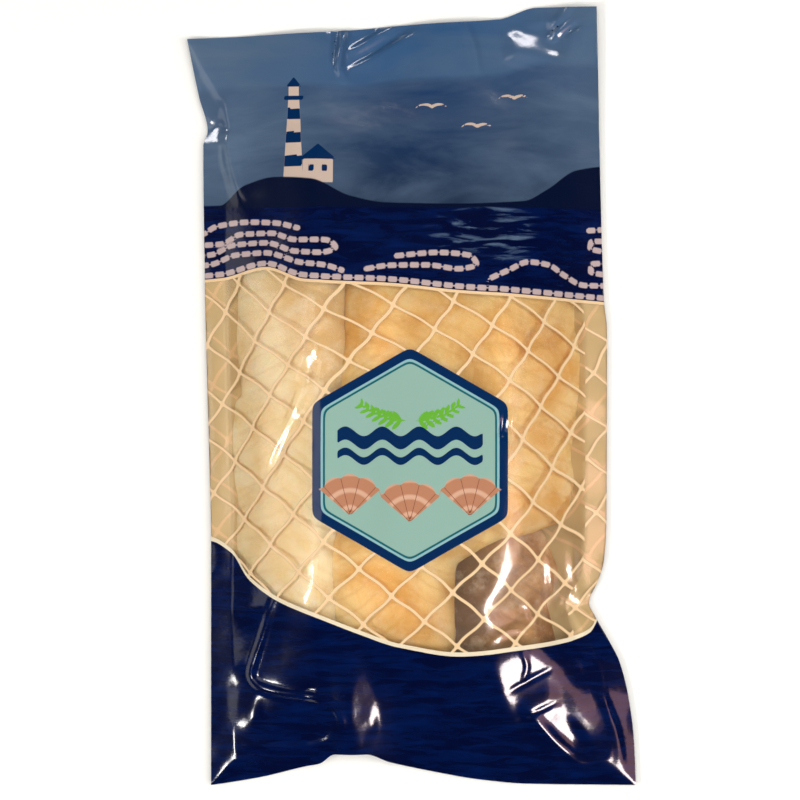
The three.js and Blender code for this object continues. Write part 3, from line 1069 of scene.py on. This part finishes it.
def rope_floats(add):
    """Distances in from the ropes' edges and from those of the rounded floats strung on them."""
    rope = add("Math", ROPE_WIDTH / 2, "rope_offset", operation="SUBTRACT")
    aside = add("Math", FLOAT_WIDTH / 2, "rope_offset", operation="SUBTRACT")
    ahead = add("Math", "rope_along", FLOAT_PITCH / 2, operation="PINGPONG")
    ahead = add("Math", ahead, (FLOAT_PITCH - FLOAT_LENGTH) / 2, operation="SUBTRACT")
    return rope, add("Math", ahead, aside, 1.0, operation="SMOOTH_MIN")


def shell_parts(add):
    """Distances in from the edges of the fan shells, their growth bands and their grooves.

    A shell reaches to its radius and a little further by the absolute cosine of its flutes, as
    far as its spread to both sides. Grooves lie where that cosine is near zero.
    """
    angle, out = "shell_angle", "shell_out"
    flute = add("Math", angle, FLUTES * math.pi / 4 / SHELL_SPREAD, operation="MULTIPLY")
    flute = add("Math", flute, operation="COSINE")
    flute = add("Math", flute, operation="ABSOLUTE")
    rim = add("Math", flute, SCALLOP, SHELL_RADIUS, operation="MULTIPLY_ADD")
    rim = add("Math", rim, out, operation="SUBTRACT")
    side = add("Math", SHELL_SPREAD, angle, operation="SUBTRACT")
    thick = add("Math", out, 1.5, operation="MAXIMUM")
    side = add("Math", side, thick, operation="MULTIPLY")
    shell = add("Math", rim, side, operation="MINIMUM")
    ring = add("Math", out, BAND_PITCH, operation="PINGPONG")
    ring = add("Math", ring, BAND_START, operation="SUBTRACT")
    ring = add("Math", ring, shell, operation="MINIMUM")
    groove = add("Math", flute, out, operation="MULTIPLY")
    groove = add("Math", GROOVE_WIDTH, groove, operation="SUBTRACT")
    groove = add("Math", groove, shell, operation="MINIMUM")
    return shell, ring, groove


def front_layers(add, places, ink, water, ripple):
    """The inks that only the front has, from the window's upper border to the label's shells."""
    glitter = add("Math", "glitter", ripple, operation="MULTIPLY")
    rope, floats = rope_floats(add)
    shell, ring, groove = shell_parts(add)
    return [
        ("head", -HEAD_LINE, CRISP, ink.cream),
        ("head", 0, CRISP, water),
        (glitter, 0.45, 0.4, ink.cloud),
        ("sky", 0, 0.6, sky_ink(add, places, ink)),
        ("lighthouse", 0, CRISP, ink.white),
        ("lighthouse_dark", 0, CRISP, ink.label_blue),
        ("hills", 0, 0.5, ink.hills),
        ("gulls", 0, CRISP, ink.white),
        (rope, 0, 0.3, ink.floats),
        (floats, 0, 0.3, ink.floats),
        ("label", 0, CRISP, ink.label_blue),
        ("label", 3.4, CRISP, ink.label_line),
        ("label", 4.3, CRISP, ink.label_teal),
        ("label", 5.1, CRISP, ink.label_fill),
        ("sprig", 0, CRISP, ink.leaf),
        ("crests", 0, CRISP, ink.label_blue),
        (shell, 0, 0.2, ink.shell),
        (ring, 0, 0.8, ink.shell_light),
        (groove, 0, 0.4, ink.rib),
    ]


def film_material(name, film, ink, front):
    """Printed polyethylene film, laminated: flat inks with crisp edges under a clear, glossy skin.

    The skin mirrors lights in long streaks, broken up by an unevenness 3 mm across. Where there
    is no ink the front is clear with a slight milky haze, so what lies inside shows; the back is
    opaque there, in its plain colour.
    """
    material, add = new_material(name)
    places = add("TexCoord", output="Object")
    water, ripple = water_ink(add, places, ink)
    layers = [
        (net_lines(add), 0, 0.3, ink.cream),
        ("foot", -BORDER_LINE / 2, CRISP, ink.border),
        ("foot", BORDER_LINE / 2, CRISP, water),
    ]
    if front:
        layers += front_layers(add, places, ink, water, ripple)
    else:
        layers += [
            ("head", -BORDER_LINE / 2, CRISP, ink.cream),
            ("head", BORDER_LINE / 2, CRISP, water),
        ]
    colour, opacity = printed(add, layers, ink.haze if front else ink.back, film.haze)
    fine = add("TexNoise", Vector=places, Scale=320.0, Detail=3.0, Roughness=0.5)
    bump = add("Bump", Strength=0.12, Distance=0.0004, Height=fine)
    surface = add(
        "BsdfPrincipled", Base_Color=colour, Roughness=0.4, IOR=1.05, Coat_Weight=1.0,
        Coat_Roughness=film.roughness, Coat_Normal=bump,
    )
    if front:
        gloss = add("BsdfAnisotropic", Color=(1, 1, 1), Roughness=film.roughness, Normal=bump)
        veil = add("BsdfAnisotropic", Color=(1, 0.9, 0.72), Roughness=0.42)
        clear = add("BsdfTransparent", Color=(0.97, 0.96, 0.94))
        clear = add("MixShader", VEIL_SHARE, clear, veil)
        mirror = add("Fresnel", IOR=1.5, Normal=bump)
        clear = add("MixShader", mirror, clear, gloss)
        surface = add("MixShader", opacity, clear, surface)
    add("OutputMaterial", surface)
    return material


def fish_material(name, flesh, deep, groove, frost, shift):
    """Frozen cod flesh: dense, wet-looking and slightly translucent, with broad soft flakes.

    Light enters it and comes out warmer. Blotches are 20 mm across, stains 40 mm, patches of
    pale, dull frost 10 mm and the grain 1.4 mm. The shift moves these patterns along. The
    mesh's shade field adds painted shade in the groove colour on top of the stains.
    """
    material, add = new_material(name)
    places = add("TexCoord", output="Object")
    placed = add("Mapping", places, Location=(shift, shift, 0))
    groove = linear(groove)
    blotch = add("TexNoise", Vector=placed, Scale=50.0, Detail=4.0, Roughness=0.6, Distortion=0.6)
    patch = add("MapRange", blotch, 0.36, 0.62, 0.0, 1.0)
    colour = add("Mix", Factor=patch, A=linear(deep), B=linear(flesh), data_type="RGBA")
    flake = add("Math", "flake", FLAKE_LENGTH / 2, operation="PINGPONG")
    flake = add("MapRange", flake, 0.0, 1.2, 0.35, 0.0)
    flake = add("Math", flake, blotch, operation="MULTIPLY")
    colour = add("Mix", Factor=flake, A=colour, B=groove, data_type="RGBA")
    stains_and_painted_shade = add("TexNoise", Vector=placed, Scale=24.0, Detail=5.0, Roughness=0.65, Distortion=1.2)
    stains_and_painted_shade = add("MapRange", stains_and_painted_shade, 0.54, 0.72, 0.0, 0.75)
    # Painted shade: the shade field darkens each slab towards the side where it meets another.
    stains_and_painted_shade = add("Math", stains_and_painted_shade, "shade", operation="MAXIMUM")
    colour = add("Mix", Factor=stains_and_painted_shade, A=colour, B=groove, data_type="RGBA")
    rime = add("TexNoise", Vector=placed, Scale=95.0, Detail=6.0, Roughness=0.65)
    rime = add("MapRange", rime, 0.5, 0.75, 0.0, frost)
    colour = add("Mix", Factor=rime, A=colour, B=linear(FROST_WHITE), data_type="RGBA")
    grain = add("TexNoise", Vector=places, Scale=700.0, Detail=4.0, Roughness=0.6)
    bump = add("Bump", Strength=0.35, Distance=0.0008, Height=grain)
    shader = add(
        "BsdfPrincipled", Base_Color=colour, Roughness=0.5, Subsurface_Weight=0.35,
        Subsurface_Radius=(0.006, 0.0035, 0.0018), Subsurface_Scale=1.0, Normal=bump,
    )
    add("OutputMaterial", shader)
    return material


def floor_material():
    """Pale painted board, dull, so that the pouch's soft shadow shows on it."""
    material, add = new_material("painted board")
    shader = add("BsdfPrincipled", Base_Color=linear(FLOOR_WHITE), Roughness=0.8)
    add("OutputMaterial", shader)
    return material


# ---- Operators ----


class POUCH_OT_film(bpy.types.Operator):
    """Makes the pouch's film, front and back welded together"""

    bl_idname = "pouch.film"
    bl_label = "Film"

    def execute(self, context):
        film, ink = context.scene.pouch.film, context.scene.pouch.ink
        columns, rows = FRONT_CELLS
        u, v = np.meshgrid(
            grid_lines(FLAT_WIDTH, SIDE_SEAL, SIDE_SEAL, columns),
            grid_lines(FLAT_LENGTH, HEM_SEAL, TOP_SEAL, rows),
        )
        x, y = plan_points(u, v)
        points, smooth, back = film_points(x, y, u, v, film.weld_lift / MM, film.swell / MM)
        front_faces, other_faces = film_faces(columns, rows)
        fields = film_fields(x, y, u, v, smooth, back)
        piece = make_piece("film", points, front_faces + other_faces, fields, SHARP_ANGLE)
        piece.data.materials.append(film_material("printed polyethylene", film, ink, True))
        piece.data.materials.append(film_material("back polyethylene", film, ink, False))
        slots = np.zeros(len(front_faces) + len(other_faces), dtype=np.int32)
        slots[len(front_faces):] = 1
        piece.data.polygons.foreach_set("material_index", slots)
        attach(piece, "root")
        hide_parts("pouch")
        return {"FINISHED"}


class POUCH_OT_fish(bpy.types.Operator):
    """Makes the frozen slabs of fish inside the pouch"""

    bl_idname = "pouch.fish"
    bl_label = "Fish"

    def execute(self, context):
        film = context.scene.pouch.film
        for name, middle, *shape in SLABS:
            x, y, z, flake = slab_points(middle, *shape, film.weld_lift / MM, film.swell / MM)
            points, faces = ringed_mesh(x, y, z)
            # Painted shade: each slab gets darker towards one side, where it meets or lies under
            # another.
            turn, start, reach, strength = SLAB_SHADES[name]
            towards = (x - middle[0]) * math.cos(turn) + (y - middle[1]) * math.sin(turn)
            shade = np.clip((towards - start) / reach, 0, 1) * strength
            fields = {
                field: np.concatenate([values.ravel(), [values[0].mean(), values[-1].mean()]])
                for field, values in (("flake", flake), ("shade", shade))
            }
            piece = make_piece(name, points, faces, fields)
            piece.data.materials.append(fish_material(*SLAB_LOOKS[name]))
            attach(piece, "root")
        return {"FINISHED"}


def make_lamp(scene, name, place, width, height, power, colour, lights, mirrored):
    """An oblong soft lamp that looks at the pouch."""
    data = bpy.data.lights.new(name, "AREA")
    data.shape, data.size, data.size_y = "RECTANGLE", width, height
    data.energy, data.color = power, colour
    lamp = bpy.data.objects.new(name, data)
    lamp.location = place
    lamp.rotation_euler = (-Vector(place)).to_track_quat("-Z", "Y").to_euler()
    lamp.visible_diffuse, lamp.visible_glossy = lights, mirrored
    scene.collection.objects.link(lamp)


class POUCH_OT_studio(bpy.types.Operator):
    """Makes the pale floor, the soft lights and the camera"""

    bl_idname = "pouch.studio"
    bl_label = "Studio"

    def execute(self, context):
        scene = context.scene
        corners = np.array([[-1, -1, 0], [1, -1, 0], [1, 1, 0], [-1, 1, 0]]) * FLOOR_HALF
        floor = make_piece("floor", corners - (0, 0, FLOOR_DROP), [[0, 1, 2, 3]])
        floor.data.materials.append(floor_material())

        world = bpy.data.worlds.new("studio")
        world.use_nodes = True
        background = world.node_tree.nodes["Background"].inputs
        background["Color"].default_value = (1, 1, 1, 1)
        background["Strength"].default_value = ROOM_LIGHT
        scene.world = world
        for settings in LAMPS:
            make_lamp(scene, *settings)

        data = bpy.data.cameras.new("camera")
        data.sensor_width = SENSOR
        data.lens = SENSOR * (CAMERA_PLACE[2] - SHARP_HEIGHT) / VIEW_WIDTH
        data.clip_end = 10
        camera = bpy.data.objects.new("camera", data)
        camera.location = CAMERA_PLACE
        scene.collection.objects.link(camera)
        scene.camera = camera
        scene.view_settings.view_transform = "Standard"
        return {"FINISHED"}


class POUCH_PT_panel(bpy.types.Panel):
    """Lists the pouch's settings and pieces"""

    bl_idname = "POUCH_PT_panel"
    bl_label = "Frozen Fillet Pouch"
    bl_space_type = "VIEW_3D"
    bl_region_type = "UI"
    bl_category = "Pouch"

    def draw(self, context):
        pouch = context.scene.pouch
        for group in (pouch.film, pouch.ink):
            for name in type(group).__annotations__:
                self.layout.prop(group, name)
        for operator in OPERATORS:
            self.layout.operator(operator.bl_idname)


OPERATORS = (POUCH_OT_studio, POUCH_OT_film, POUCH_OT_fish)
CLASSES = (FilmSettings, InkSettings, PouchSettings, *OPERATORS, POUCH_PT_panel)


def register():
    """Adds the classes and the scene's settings."""
    for cls in CLASSES:
        bpy.utils.register_class(cls)
    bpy.types.Scene.pouch = PointerProperty(type=PouchSettings)


def unregister():
    """Takes them away again."""
    del bpy.types.Scene.pouch
    for cls in reversed(CLASSES):
        bpy.utils.unregister_class(cls)


def main():
    """Builds the pouch and the studio."""
    register()
    bpy.ops.pouch.studio()
    bpy.ops.pouch.film()
    bpy.ops.pouch.fish()


if __name__ == "__main__":
    main()
